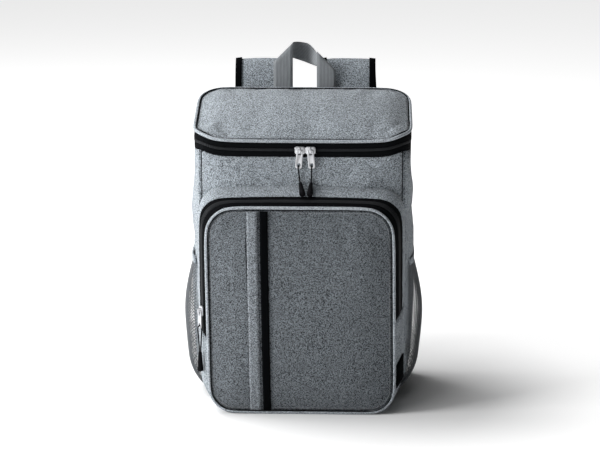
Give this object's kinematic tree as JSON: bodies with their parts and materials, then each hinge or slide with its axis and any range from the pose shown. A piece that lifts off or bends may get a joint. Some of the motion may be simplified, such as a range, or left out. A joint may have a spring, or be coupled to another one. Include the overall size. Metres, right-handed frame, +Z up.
{
  "type": "cooler backpack",
  "caption": "Soft padded cooler backpack with a sloping zipped lid, a rounded zipped front pocket, net side pockets, a folded carry handle and shoulder straps.",
  "frame": {"origin": "on the ground under the middle of the bag's box", "axes": "+Z up; -Y is the side of the front pocket; +Y is the side of the shoulder straps; +X is to the right as one looks at the front"},
  "size_m": [0.316, 0.245, 0.4517],
  "materials": {
    "heather": "woven melange polyester, matt",
    "light_heather": "woven melange polyester, matt",
    "black_webbing": "woven tape, matt",
    "ribbed_webbing": "ribbed webbing, matt",
    "zip_tape": "woven tape, slight sheen",
    "zip_teeth": "nylon coil",
    "netting": "open knitted net",
    "silver_zip_metal": "satin plated die-cast metal",
    "black_cord": "braided cord",
    "moulded_end": "moulded plastic, satin",
    "buckle_plastic": "moulded plastic, satin"
  },
  "bodies": {
    "root": {"body_front_panel": "heather", "body_gusset": "heather", "body_back_panel": "heather", "lid_panel": "light_heather", "lid_piping": "light_heather", "lid_zip_tape_lower": "zip_tape", "lid_zip_teeth": "zip_teeth", "lid_zip_tape_upper": "zip_tape", "lid_slider_left": "silver_zip_metal", "lid_slider_right": "silver_zip_metal", "lid_pull_tab_left": "silver_zip_metal", "lid_pull_tab_right": "silver_zip_metal", "lid_pull_cord_left": "black_cord", "lid_pull_cord_right": "black_cord", "lid_pull_end_left": "moulded_end", "lid_pull_end_right": "moulded_end", "pocket_gusset_upper": "light_heather", "pocket_gusset_lower": "heather", "pocket_zip_tape_rear": "zip_tape", "pocket_zip_teeth": "zip_teeth", "pocket_zip_tape_front": "zip_tape", "pocket_front_panel": "heather", "pocket_piping": "light_heather", "pocket_slider": "silver_zip_metal", "pocket_pull_tab": "silver_zip_metal", "pocket_pull_cord": "black_cord", "pocket_pull_end": "moulded_end", "placket_strip": "light_heather", "webbing_band": "black_webbing", "seam_label": "black_webbing", "carry_handle": "ribbed_webbing", "mesh_pocket_left": "netting", "mesh_binding_left": "light_heather", "shoulder_strap_left": "heather", "strap_binding_outer_left": "black_webbing", "strap_binding_inner_left": "black_webbing", "strap_loop_left": "black_webbing", "strap_buckle_left": "buckle_plastic", "strap_tail_left": "black_webbing", "mesh_pocket_right": "netting", "mesh_binding_right": "light_heather", "shoulder_strap_right": "heather", "strap_binding_outer_right": "black_webbing", "strap_binding_inner_right": "black_webbing", "strap_loop_right": "black_webbing", "strap_buckle_right": "buckle_plastic", "strap_tail_right": "black_webbing"}
  },
  "joints": []
}
